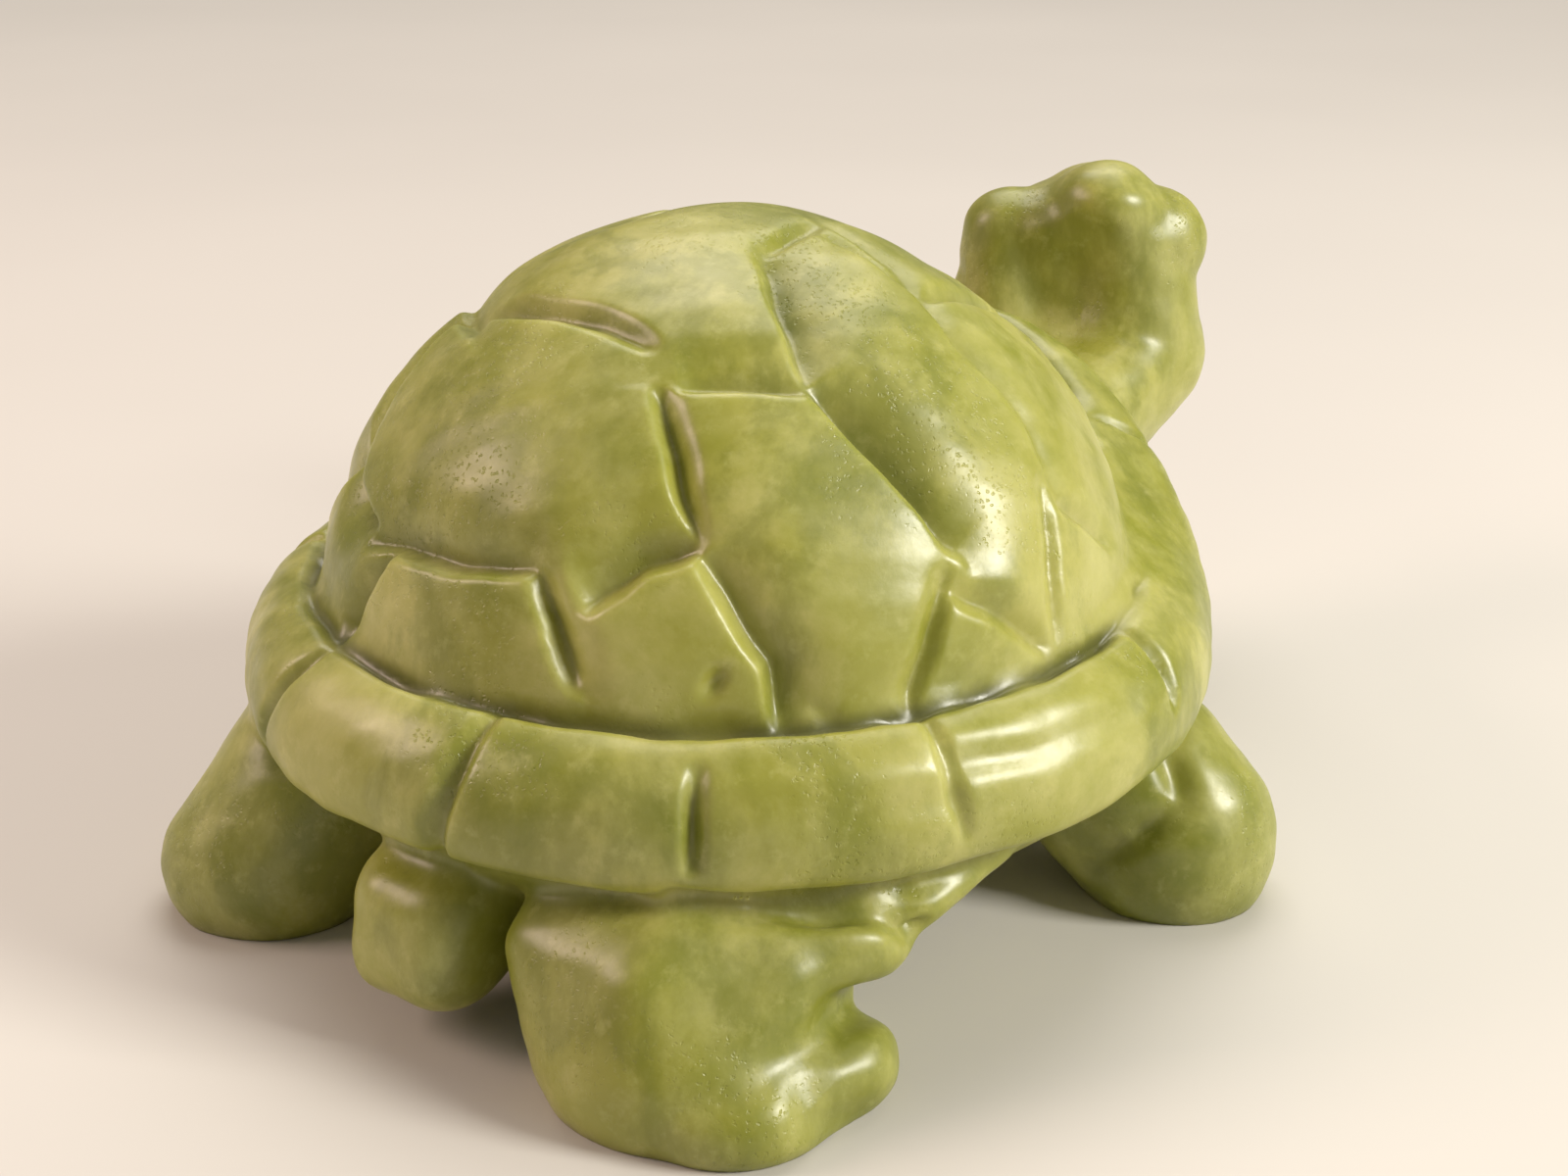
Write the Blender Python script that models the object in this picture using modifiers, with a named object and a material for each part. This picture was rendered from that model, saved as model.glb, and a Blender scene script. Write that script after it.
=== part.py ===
"""A turtle carved from one block of serpentine, at its real size.

+X is forwards, +Y is the turtle's left and +Z is up. The origin is on the surface that the
feet stand on, under the middle of the carving's bounding box. The masses of the body are
joined and rounded into one block, the block is carved, and the feet are cut flat.
"""

import math

import bmesh
import bpy
import numpy as np
from mathutils import Euler, Matrix, Vector

MM = 0.001

# The shell, in millimetres. Until the last step the middle of the shell is at X 0, Y 0.
DOME_RADII = (44.2, 43.2, 38.8)
DOME_BASE = 33.5
DOME_FOOT = 8.0
DOME_FULLNESS = 1.82
RIM_RADII = (52.8, 51.8)
RIM_PROFILE = [
    (20.8, -1.5), (22.4, -0.4), (24.6, 0.0), (27.2, -0.1), (29.8, -0.8),
    (32.0, -2.1), (33.8, -4.0), (35.0, -6.4), (35.4, -8.5),
]
BELLY_RADII = (38.0, 36.0)
BELLY_BOTTOM = 9.5
BELLY_OVERLAP = 1.0
FRONT_STRETCH_RIM = 1.03
FRONT_STRETCH_DOME = 0.92
FRONT_ARCH = 18.0
ARCH_POWER = 4
ARCH_DRAW = 5
ARCH_START = 12.0
ARCH_FULL = 24.0

# The limbs, neck, head and tail, in millimetres. Each mass is wrapped round its ellipsoids:
# a centre, three radii and, for the head and what carries it, a turn to the left in degrees.
HEAD_TURN = 33.0
MASSES = {
    "rear_right_leg": [
        ((-27, -21, 18), (15, 14, 9)), ((-46, -15, 13), (5, 5, 4.5)), ((-46, -26, 13), (5, 5, 4.5)),
        ((-37, -34, 13), (5, 5, 4.5)), ((-39.5, -25, 4), (15, 15, 11)),
    ],
    "rear_right_knee": [((-29, -34.3, 14), (8, 8, 6)), ((-38, -28.5, 12), (9, 9, 6))],
    "rear_right_heel": [((-40, -32, 2.5), (12.5, 11.5, 6.5)), ((-34.5, -38.5, 3.4), (6.3, 6, 5.2))],
    "rear_left_leg": [((-28, 25, 22), (13, 12, 9)), ((-39.5, 32, 4.5), (12.5, 12, 10))],
    "front_right_leg": [((18, -26, 24), (14, 13, 9)), ((20, -45, 6), (11.5, 11.5, 12))],
    "front_left_leg": [((18, 26, 24), (14, 13, 9)), ((22, 45, 6), (11.5, 11.5, 12))],
    "right_flank": [
        ((-12, -32, 16), (9, 8, 7)), ((-25, -38.3, 15.4), (6, 4.5, 2.4)), ((-15, -40, 18.5), (6, 5, 3)),
    ],
    "left_flank": [((-12, 32, 16), (9, 8, 7)), ((-24, 35, 16), (8, 6.5, 3.5))],
    "tail": [
        ((-38, 0, 15), (8, 9, 7)), ((-46.5, 2.8, 13.5), (6.5, 5.4, 5)), ((-46.5, -2.8, 13.5), (6.5, 5, 5)),
        ((-47.5, 2.8, 8), (6.5, 5.2, 5)), ((-47.5, -2.8, 8), (6.5, 5, 5)),
    ],
    "neck": [((38, 0, 27), (14, 18, 14)), ((63, -1, 33), (10, 13.5, 12))],
    "throat": [((63, -1, 33), (10, 13.5, 12)), ((80.2, -3.6, 40), (10.5, 11.8, 11), HEAD_TURN)],
    "nape": [((79.2, -3.6, 40), (11, 12, 10), HEAD_TURN), ((77.8, -1, 55), (10.5, 12.2, 8), HEAD_TURN)],
    "skull": [((78, 0.5, 55.8), (10.5, 12.2, 7.2), HEAD_TURN), ((88.5, 9, 54), (7, 9, 6.5), HEAD_TURN)],
    "crown": [
        ((76, -2.7, 59.5), (8.5, 7.5, 6.5), HEAD_TURN), ((84, 4, 57.5), (7, 7, 5.5), HEAD_TURN),
        ((79.5, -5.5, 57), (6.5, 6, 5.6)),
    ],
    "right_cheek": [((82, -7, 55), (7, 7, 7.2))],
    "left_cheek": [((73, 8.8, 55.5), (6.5, 7, 6)), ((71.5, 9, 47), (6.5, 7, 8)), ((73, 4, 39), (8, 8, 8))],
    "right_eye": [((87, -1.8, 56.8), (3.4, 3.4, 3.2))],
    "left_eye": [((78, 12.4, 56.2), (3.4, 3.4, 3.2))],
}

# The cuts of the dome, right side: the ends and turns of each as an azimuth and elevation in
# degrees seen from the middle of the dome's base, the depth in millimetres, and how far the
# surface slopes away on its left and right hand, in millimetres, along the way it is cut.
PLATE_CUTS = {
    "top_down": ([(-123, 73), (-126, 46)], 2.6, 7.0, 1.2),
    "side_long": ([(-126, 46), (-117, 34), (-110, 20)], 3.4, 9.0, 1.2),
    "rear_upper": ([(-152, 46), (-126, 45)], 2.2, 9.0, 1.2),
    "side_rear": ([(-146, 22), (-142, 16), (-137, 9), (-136, 1)], 3.0, 8.0, 1.2),
    "wedge_rear": ([(-112, 17), (-121, 1)], 1.8, 1.2, 2.6),
    "wedge_ahead": ([(-112, 15), (-97, 3)], 1.6, 4.0, 1.2),
    "sliver_rear": ([(-88, 24), (-93, 12), (-95, 3)], 1.3, 1.2, 3.0),
    "sliver_ahead": ([(-86, 20), (-75, 10)], 1.3, 3.0, 1.2),
    "side_front": ([(-48, 77), (-70, 63), (-84, 47), (-83, 33), (-86, 20)], 1.2, 4.0, 1.2),
    "top_along": ([(-123, 73), (-60, 76)], 1.4, 2.5, 1.5),
    "top_front": ([(-74, 74), (-77, 56)], 1.4, 2.5, 1.5),
    "chip": ([(-135, 5), (-132, 3), (-129, 2)], 1.2, 1.2, 3.0),
    "nick": ([(-143, 8), (-145, 5)], 1.0, 1.6, 1.2),
    "front_upper": ([(-76, 56), (-45, 44), (-30, 30)], 1.8, 2.5, 1.5),
    "front_lower": ([(-30, 30), (-40, 8)], 1.8, 2.5, 1.5),
}
MIDDLE_CUTS = {
    "rear_arc": ([(132, 47), (146, 51), (162, 54), (-177, 55), (-160, 52)], 1.9, 2.0, 1.5),
    "rear_right_gouge": ([(-156, 45), (-150, 33), (-146, 23)], 2.6, 2.8, 1.2),
    "rear_left_gouge": ([(130, 47), (132, 40), (138, 32), (143, 25), (148, 19), (158, 17)], 3.4, 1.2, 7.0),
    "rear_right_low": ([(-146, 23), (-154, 20), (-161, 15)], 3.2, 1.2, 9.0),
    "rear_low": ([(-168, 18), (-161, 5)], 2.6, 5.0, 1.2),
    "rear_band": ([(158, 14), (166, 16), (177, 17), (-168, 18)], 2.8, 8.0, 1.2),
    "rear_left_low": ([(166, 16), (158, 2)], 2.0, 1.2, 3.5),
    "front_band": ([(-30, 30), (24, 30)], 1.8, 2.5, 1.5),
}
LEFT_LEAD = 6.0
WIDE_SLOPE = 2.0
CUT_END = 0.35

# The cuts across the rim: the azimuth at the top and at the bottom, the height of either end,
# the depth, and how far the surface slopes away on the left and right hand, seen from outside.
RIM_CUTS = {
    "rear_left": ((161, 154), (36, 23), 1.6, 0.9, 1.6),
    "rear": ((-169.5, -174), (38, 18), 1.9, 3.0, 0.8),
    "rear_lens": ((-146, -146.5), (33.6, 23.5), 1.7, 0.8, 1.9),
    "right": ((-120, -117.5), (37, 24.5), 1.3, 0.8, 1.6),
    "right_front": ((-82, -83.5), (37, 27.5), 1.6, 0.8, 1.6),
    "front_right": ((-33, -31), (38, 18), 1.6, 1.0, 1.0),
    "left": ((121, 118), (37, 20), 1.7, 1.2, 0.9),
    "left_front": ((83, 85), (38, 20), 1.6, 0.9, 1.2),
    "front_left": ((31, 33), (38, 18), 1.6, 1.0, 1.0),
}
RING_RADII = (45.3, 44.3)
RING_HEIGHT = 34.8
RING_CUT_DEPTH = 2.6
RING_CUT_WIDTH = 0.8
RING_MARGIN = 1.0
DOME_EDGE = 1.01

UNDERCUT_RADII = (50.0, 49.0)
UNDERCUT_HEIGHT = 20.0
UNDERCUT_DEPTH = 1.2
UNDERCUT_WIDTH = 1.8

# Creases: points on the surface, the depth at the start and at the end, and the half-width,
# in millimetres. Those of the head are ahead, left and up of the middle of the head.
CREASES = {
    "heel_notch": ([(-26, -38, 9), (-32, -39.5, 9), (-38.5, -40, 9.5), (-45, -39, 9.5)], 1.8, 0.5, 2.2),
    "heel_line": ([(-42, -42, 7.5), (-43, -42, 4), (-38, -45, 1)], 0.6, 1.2, 2.4),
    "under_skirt": ([(-43, -27, 21.5), (-36, -34, 19), (-31, -39, 17.5), (-26.5, -42.5, 15)], 1.2, 2.2, 1.3),
    "band_dip": ([(-23, -44.5, 31.5), (-16, -47.5, 31), (-9, -49.5, 31), (-2, -50.5, 31)], 0.8, 0.4, 1.8),
    "band_hollow": ([(-37, -36.5, 29), (-32, -41, 29), (-26, -45, 29)], 0.2, 0.7, 1.8),
    "elbow": ([(14, -47, 21), (13, -49, 14), (8, -46, 10), (8, -41, 5)], 1.6, 1.0, 1.6),
    "left_heel_notch": ([(-29, 42, 9), (-35, 45, 11), (-43, 43, 13)], 5.0, 0.5, 3.2),
    "left_elbow": ([(15, 47, 21), (14, 50, 14), (10, 47, 10), (10, 41, 5)], 1.6, 1.0, 1.6),
}
HEAD_MIDDLE = (78.0, 2.5, 56.5)
HEAD_CREASES = {
    "jaw": ([(4, -13, -5), (-3, -14, -6)], 1.8, 0.8, 1.5),
    "mouth": ([(2, -12.5, -4), (12, -9.3, -4.5), (17.5, -6, -4.5), (19.2, 0, -4.5)], 1.4, 1.4, 1.0),
    "nostril": ([(17, -2.5, 2), (17.4, -2.5, 1.6)], 0.8, 0.8, 0.8),
    "eye": (
        [(9, -10.3, 0.2), (5.8, -9.8, 3.2), (2.6, -11.5, 0.2), (5.8, -10.8, -2.8), (9, -10.3, 0.2)],
        1.2, 1.2, 0.9,
    ),
}
NAPE_HOLLOW = ((66, -3.5, 51.5), 4.6, 8.5)

# How finely the solid is made. Lengths are in millimetres.
SHELL_SEGMENTS = 160
LIMB_SEGMENTS = 40
BELLY_RINGS = 8
GRAIN = 0.6
ROUNDING_PASSES = 16
SOFTENING_PASSES = 3
SMOOTHING = 0.5
MOST_FACES = 9600
SHORTEST_EDGE = 0.02
LIFT_STEPS = 6

TURTLE = "turtle_carving"


def clear_scene():
    """Remove every object of the scene."""
    for obj in list(bpy.data.objects):
        bpy.data.objects.remove(obj, do_unlink=True)


def placed(name, mesh):
    """Make an object of a bmesh that is in millimetres."""
    bmesh.ops.scale(mesh, vec=(MM, MM, MM), verts=mesh.verts)
    data = bpy.data.meshes.new(name)
    mesh.to_mesh(data)
    mesh.free()
    obj = bpy.data.objects.new(name, data)
    bpy.context.scene.collection.objects.link(obj)
    return obj


def ellipsoid(mesh, centre, radii, turn=0.0, around=LIMB_SEGMENTS):
    matrix = Matrix.LocRotScale(Vector(centre), Euler((0, 0, math.radians(turn))), Vector(radii))
    bmesh.ops.create_uvsphere(mesh, u_segments=around, v_segments=around // 2, radius=1, matrix=matrix)


def frustum(mesh, low, high, low_radii, high_radii):
    """An oval frustum between two heights."""
    made = bmesh.ops.create_cone(mesh, cap_ends=True, segments=SHELL_SEGMENTS, radius1=1, radius2=1, depth=2)
    for vert in made["verts"]:
        radii = high_radii if vert.co.z > 0 else low_radii
        height = high if vert.co.z > 0 else low
        vert.co = Vector((vert.co.x * radii[0], vert.co.y * radii[1], height))


def wrapped(name, balls):
    """The convex hull round a mass's ellipsoids."""
    mesh = bmesh.new()
    for centre, radii, *turn in balls:
        ellipsoid(mesh, centre, radii, *turn)
    made = bmesh.ops.convex_hull(mesh, input=mesh.verts)
    inside = [part for part in made["geom_interior"] if isinstance(part, bmesh.types.BMVert)]
    bmesh.ops.delete(mesh, geom=inside, context="VERTS")
    return placed(name, mesh)


def arch(x, y, z):
    """How far the front of the shell is lifted over the neck, in millimetres."""
    reach = np.maximum(np.hypot(x, y), 1e-6)
    ahead = np.maximum(x / reach, 0) ** ARCH_POWER
    out = np.minimum(reach / DOME_RADII[0], 1) ** ARCH_DRAW
    high = np.clip((z - ARCH_START) / (ARCH_FULL - ARCH_START), 0, 1)
    return FRONT_ARCH * ahead * out * high


def coordinates(obj):
    """An object's vertices as an array, in millimetres."""
    flat = np.empty(len(obj.data.vertices) * 3)
    obj.data.vertices.foreach_get("co", flat)
    return flat.reshape(-1, 3) / MM


def move_to(obj, points):
    obj.data.vertices.foreach_set("co", (points * MM).ravel())
    obj.data.update()


def fuller(point):
    """Move a point of the dome's ellipsoid onto the dome's own profile."""
    rise = max(point.z - DOME_BASE, 0) / DOME_RADII[2]
    level = math.sqrt(max(1 - rise**2, 0))
    wanted = max(1 - rise**DOME_FULLNESS, 0) ** (1 / DOME_FULLNESS)
    draw = wanted / level if level > 1e-4 else 1
    return Vector((point.x * draw, point.y * draw, max(point.z, DOME_BASE - DOME_FOOT)))


def rim_radii(inset):
    return (RIM_RADII[0] + inset, RIM_RADII[1] + inset)


def shell_masses():
    """The dome, the rim band and the underside of the shell, before they are joined."""
    dome = bmesh.new()
    ellipsoid(dome, (0, 0, DOME_BASE), DOME_RADII, around=SHELL_SEGMENTS)
    for vert in dome.verts:
        vert.co = fuller(vert.co)
    rim = bmesh.new()
    for (low, low_in), (high, high_in) in zip(RIM_PROFILE, RIM_PROFILE[1:]):
        frustum(rim, low, high, rim_radii(low_in), rim_radii(high_in))
    bottom, bottom_in = RIM_PROFILE[0]
    belly = bmesh.new()
    frustum(belly, BELLY_BOTTOM, bottom + BELLY_OVERLAP, BELLY_RADII, rim_radii(bottom_in))
    upright = [edge for edge in belly.edges if edge.verts[0].co.z != edge.verts[1].co.z]
    bmesh.ops.subdivide_edges(belly, edges=upright, cuts=BELLY_RINGS)
    made = [placed("dome", dome), placed("rim", rim), placed("belly", belly)]
    for obj, stretch in zip(made, (FRONT_STRETCH_DOME, FRONT_STRETCH_RIM, FRONT_STRETCH_RIM)):
        points = coordinates(obj)
        points[:, 0] *= np.where(points[:, 0] > 0, stretch, 1.0)
        points[:, 2] += arch(*points.T)
        move_to(obj, points)
    return made


def smooth(block, passes):
    """Round the surface off, more with every pass."""
    rounded = block.modifiers.new("rounded", "SMOOTH")
    rounded.factor = SMOOTHING
    rounded.iterations = passes
    bpy.ops.object.modifier_apply(modifier="rounded")


def one_block():
    """Join the masses into one rounded block."""
    masses = shell_masses() + [wrapped(name, balls) for name, balls in MASSES.items()]
    bpy.ops.object.select_all(action="DESELECT")
    for obj in masses:
        obj.select_set(True)
    block = masses[0]
    bpy.context.view_layer.objects.active = block
    bpy.ops.object.join()
    block.name = TURTLE
    joined = block.modifiers.new("joined", "REMESH")
    joined.mode = "VOXEL"
    joined.voxel_size = GRAIN * MM
    bpy.ops.object.modifier_apply(modifier="joined")
    smooth(block, ROUNDING_PASSES)
    return block


def direction(azimuth, elevation):
    across, up = math.radians(azimuth), math.radians(elevation)
    return np.array([math.cos(up) * math.cos(across), math.cos(up) * math.sin(across), math.sin(up)])


def side_fall(distance, slope):
    """How far a cut's side has sunk: wide sides are hollow slopes and narrow ones are steps."""
    fall = np.clip(1 - distance / slope, 0, 1)
    return np.where(slope > WIDE_SLOPE, fall**2, fall**2 * (3 - 2 * fall))


def cut_depth(sights, sizes, turns, depth, left, right):
    """The depth of one cut of the dome at every point, given as a sight line and a distance."""
    ways = [direction(*turn) for turn in turns]
    spans = [math.acos(float(np.clip(a @ b, -1, 1))) for a, b in zip(ways, ways[1:])]
    nearest = np.full(len(sights), 1e9)
    side = np.zeros(len(sights))
    run = np.zeros(len(sights))
    before = 0.0
    for start, end, span in zip(ways, ways[1:], spans):
        pole = np.cross(start, end)
        pole /= np.linalg.norm(pole)
        off = np.arcsin(np.clip(sights @ pole, -1, 1))
        ahead = np.arctan2(sights @ np.cross(pole, start), sights @ start)
        past = ahead - np.clip(ahead, 0, span)
        distance = np.hypot(off, past) * sizes
        closer = distance < nearest
        nearest = np.where(closer, distance, nearest)
        side = np.where(closer, off, side)
        run = np.where(closer, before + np.clip(ahead, 0, span), run)
        before += span
    share = run / before
    lens = np.sqrt(np.clip(4 * share * (1 - share), 0, 1)) * (1 - CUT_END) + CUT_END
    return depth * lens * side_fall(nearest, np.where(side > 0, left, right))


def rim_cut_depth(around, heights, azimuths, ends, depth, left, right):
    """The depth of one cut across the rim at every azimuth and height."""
    share = np.clip((ends[0] - heights) / (ends[0] - ends[1]), 0, 1)
    middle = azimuths[0] + (azimuths[1] - azimuths[0]) * share
    off = np.radians((around - middle + 180) % 360 - 180) * RIM_RADII[0]
    lens = np.sqrt(4 * share * (1 - share))
    return depth * lens * side_fall(np.abs(off), np.where(off < 0, left, right))


def mirrored(turns):
    """The left side's cuts are a little ahead of the right side's."""
    return [(-azimuth - LEFT_LEAD, elevation) for azimuth, elevation in turns]


def carve_shell(points):
    """How deep the shell is cut at every point, in millimetres."""
    flat = points.copy()
    for _ in range(LIFT_STEPS):
        flat[:, 2] = points[:, 2] - arch(*flat.T)
    seen = flat - np.array([0, 0, DOME_BASE])
    sizes = np.linalg.norm(seen, axis=1)
    sights = seen / sizes[:, None]
    dome_x = flat[:, 0] / np.where(flat[:, 0] > 0, FRONT_STRETCH_DOME, 1.0)
    rim_x = flat[:, 0] / np.where(flat[:, 0] > 0, FRONT_STRETCH_RIM, 1.0)
    reach = np.hypot(dome_x / RING_RADII[0], flat[:, 1] / RING_RADII[1])
    deepest = np.zeros(len(points))
    for turns, depth, left, right in PLATE_CUTS.values():
        deepest = np.maximum(deepest, cut_depth(sights, sizes, turns, depth, left, right))
        deepest = np.maximum(deepest, cut_depth(sights, sizes, mirrored(turns), depth, right, left))
    for turns, depth, left, right in MIDDLE_CUTS.values():
        deepest = np.maximum(deepest, cut_depth(sights, sizes, turns, depth, left, right))
    on_dome = (flat[:, 2] > RING_HEIGHT - RING_MARGIN) & (reach < DOME_EDGE)
    deepest = np.where(on_dome, deepest, 0)
    under = np.hypot(rim_x / UNDERCUT_RADII[0], flat[:, 1] / UNDERCUT_RADII[1])
    off_edge = np.hypot((under - 1) * UNDERCUT_RADII[0], flat[:, 2] - UNDERCUT_HEIGHT)
    deepest = np.maximum(deepest, UNDERCUT_DEPTH * np.exp(-((off_edge / UNDERCUT_WIDTH) ** 2)))
    off_ring = np.hypot((reach - 1) * RING_RADII[0], flat[:, 2] - RING_HEIGHT)
    deepest = np.maximum(deepest, RING_CUT_DEPTH * np.exp(-((off_ring / RING_CUT_WIDTH) ** 2)))
    around = np.degrees(np.arctan2(flat[:, 1], flat[:, 0]))
    for cut in RIM_CUTS.values():
        deepest = np.maximum(deepest, rim_cut_depth(around, flat[:, 2], *cut) * (reach > 1.0))
    return deepest


def crease_depth(points, line, start_depth, end_depth, width):
    """The depth of a crease that runs along a line of points in space."""
    line = [np.array(point, dtype=float) for point in line]
    nearest = np.full(len(points), 1e9)
    share = np.zeros(len(points))
    for step, (start, end) in enumerate(zip(line, line[1:])):
        along = end - start
        run = np.clip((points - start) @ along / (along @ along), 0, 1)
        distance = np.linalg.norm(points - start - run[:, None] * along, axis=1)
        closer = distance < nearest
        nearest = np.where(closer, distance, nearest)
        share = np.where(closer, (step + run) / (len(line) - 1), share)
    depth = start_depth + (end_depth - start_depth) * share
    return depth * np.exp(-((nearest / width) ** 2))


def of_head(point, side):
    """A point of the head on its right (1) or left (-1) side, in the carving's coordinates."""
    ahead, left, up = point
    turned = Matrix.Rotation(math.radians(HEAD_TURN), 3, "Z") @ Vector((ahead, left * side, up))
    return Vector(HEAD_MIDDLE) + turned


def carve_limbs(points):
    """How deep the legs, neck and head are creased at every point, in millimetres."""
    middle, depth, width = NAPE_HOLLOW
    deepest = depth * np.exp(-((np.linalg.norm(points - np.array(middle), axis=1) / width) ** 2))
    for line, start_depth, end_depth, half in CREASES.values():
        deepest = np.maximum(deepest, crease_depth(points, line, start_depth, end_depth, half))
    for line, start_depth, end_depth, half in HEAD_CREASES.values():
        for side in (1, -1):
            turned = [of_head(point, side) for point in line]
            deepest = np.maximum(deepest, crease_depth(points, turned, start_depth, end_depth, half))
    return deepest


def normals(obj):
    flat = np.empty(len(obj.data.vertices) * 3)
    obj.data.vertices.foreach_get("normal", flat)
    return flat.reshape(-1, 3)


def flat_soles(block):
    """Cut the feet flat at the surface that they stand on."""
    mesh = bmesh.new()
    mesh.from_mesh(block.data)
    everything = mesh.verts[:] + mesh.edges[:] + mesh.faces[:]
    cut = bmesh.ops.bisect_plane(mesh, geom=everything, plane_no=(0, 0, -1), clear_outer=True)
    rims = [part for part in cut["geom_cut"] if isinstance(part, bmesh.types.BMEdge)]
    bmesh.ops.edgeloop_fill(mesh, edges=rims)
    bmesh.ops.dissolve_degenerate(mesh, edges=mesh.edges[:], dist=SHORTEST_EDGE * MM)
    bmesh.ops.triangulate(mesh, faces=mesh.faces[:])
    bmesh.ops.recalc_face_normals(mesh, faces=mesh.faces[:])
    mesh.to_mesh(block.data)
    mesh.free()


def lighten(block):
    """Leave the faces where the surface turns, and few where it is even."""
    fewer = block.modifiers.new("fewer_faces", "DECIMATE")
    triangles = sum(len(face.vertices) - 2 for face in block.data.polygons)
    fewer.ratio = MOST_FACES / triangles
    fewer.use_collapse_triangulate = True
    bpy.ops.object.modifier_apply(modifier="fewer_faces")


def stand(block):
    """Put the origin under the middle of the bounding box, on the surface the feet stand on."""
    points = coordinates(block)
    low, high = points.min(axis=0), points.max(axis=0)
    move_to(block, points - np.array([(low[0] + high[0]) / 2, (low[1] + high[1]) / 2, low[2]]))


def finish(block):
    """Give the carving its stone and its collection."""
    stone = bpy.data.materials.new("serpentine")
    stone.use_nodes = True
    shader = stone.node_tree.nodes["Principled BSDF"]
    shader.inputs["Base Color"].default_value = (0.33, 0.42, 0.11, 1.0)
    shader.inputs["Roughness"].default_value = 0.28
    block.data.materials.clear()
    block.data.materials.append(stone)
    carving = bpy.data.collections.new("serpentine_turtle")
    bpy.context.scene.collection.children.link(carving)
    for home in list(block.users_collection):
        home.objects.unlink(block)
    carving.objects.link(block)


def main():
    clear_scene()
    block = one_block()
    points = coordinates(block)
    move_to(block, points - normals(block) * carve_shell(points)[:, None])
    points = coordinates(block)
    move_to(block, points - normals(block) * carve_limbs(points)[:, None])
    smooth(block, SOFTENING_PASSES)
    lighten(block)
    flat_soles(block)
    stand(block)
    finish(block)


main()
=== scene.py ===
import math

import bpy
import numpy as np
from mathutils import Matrix, Vector


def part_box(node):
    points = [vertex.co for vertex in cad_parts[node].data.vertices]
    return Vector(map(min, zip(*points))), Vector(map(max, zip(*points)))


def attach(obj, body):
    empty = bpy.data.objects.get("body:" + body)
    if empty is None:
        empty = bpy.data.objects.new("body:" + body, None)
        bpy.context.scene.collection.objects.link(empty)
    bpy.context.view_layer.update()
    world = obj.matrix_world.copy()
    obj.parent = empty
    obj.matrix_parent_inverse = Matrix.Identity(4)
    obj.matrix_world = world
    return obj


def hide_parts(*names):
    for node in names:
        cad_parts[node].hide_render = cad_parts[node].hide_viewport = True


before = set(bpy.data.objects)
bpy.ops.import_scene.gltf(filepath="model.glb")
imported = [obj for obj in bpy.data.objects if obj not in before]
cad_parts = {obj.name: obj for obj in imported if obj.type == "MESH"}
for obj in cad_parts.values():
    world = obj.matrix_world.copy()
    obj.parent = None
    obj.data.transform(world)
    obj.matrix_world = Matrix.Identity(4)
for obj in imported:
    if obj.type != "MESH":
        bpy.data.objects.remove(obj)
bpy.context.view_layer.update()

# A turtle carved from one block of serpentine. The block is built up from its masses, rounded,
# and carved with the same cuts as the plain solid, only finer. Lengths of the carving are in
# millimetres up to the last step, which puts it where the plain solid stands.

mm = 0.001
block = {
    "fineness": 0.38,        # size of the voxels that join the masses
    "segments": 192,         # round the shell
    "bellyRings": 8,
    "limbSegments": 40,
    "limbRings": 24,
    "smoothing": 0.5,        # how far each pass moves a point towards its neighbours
    "roundingPasses": 40,
    "softeningPasses": 12,   # after the carving
    "triangles": 192000,
    "shortestEdge": 0.02,
    "smoothBelow": 60,       # degrees
}
farAway = 1e9
tiny = 1e-6
nearPole = 1e-4


def onlySelect(*objects):
    if bpy.context.object and bpy.context.object.mode != "OBJECT":
        bpy.ops.object.mode_set(mode="OBJECT")
    bpy.ops.object.select_all(action="DESELECT")
    for piece in objects:
        piece.select_set(True)
    bpy.context.view_layer.objects.active = objects[-1] if objects else None


def spotsOf(piece):
    flat = np.empty(len(piece.data.vertices) * 3)
    piece.data.vertices.foreach_get("co", flat)
    return flat.reshape(-1, 3) / mm


def moveSpots(piece, spots):
    piece.data.vertices.foreach_set("co", (spots * mm).ravel())
    piece.data.update()


def normalsOf(piece):
    flat = np.empty(len(piece.data.vertices) * 3)
    piece.data.vertices.foreach_get("normal", flat)
    return flat.reshape(-1, 3)


# The shell: a dome, a band round its edge, and the belly under it.
shell = {
    "domeRadii": (44.2, 43.2, 38.8),
    "domeBase": 33.5,
    "domeFoot": 8.0,
    "domeFullness": 1.82,
    "rimRadii": (52.8, 51.8),
    "rimProfile": [
        (20.8, -1.5),
        (22.4, -0.4),
        (24.6, 0.0),
        (27.2, -0.1),
        (29.8, -0.8),
        (32.0, -2.1),
        (33.8, -4.0),
        (35.0, -6.4),
        (35.4, -8.5),
    ],
    "bellyRadii": (38.0, 36.0),
    "bellyBottom": 9.5,
    "bellyOverlap": 1.0,
    "frontStretchRim": 1.03,
    "frontStretchDome": 0.92,
    "frontArch": 18.0,
    "archPower": 4,
    "archDraw": 5,
    "archStart": 12.0,
    "archFull": 24.0,
}


def archLift(x, y, z):    # how far the front of the shell is lifted over the neck
    reach = np.maximum(np.hypot(x, y), tiny)
    ahead = np.maximum(x / reach, 0) ** shell["archPower"]
    out = np.minimum(reach / shell["domeRadii"][0], 1) ** shell["archDraw"]
    high = np.clip((z - shell["archStart"]) / (shell["archFull"] - shell["archStart"]), 0, 1)
    return shell["frontArch"] * ahead * out * high


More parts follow.
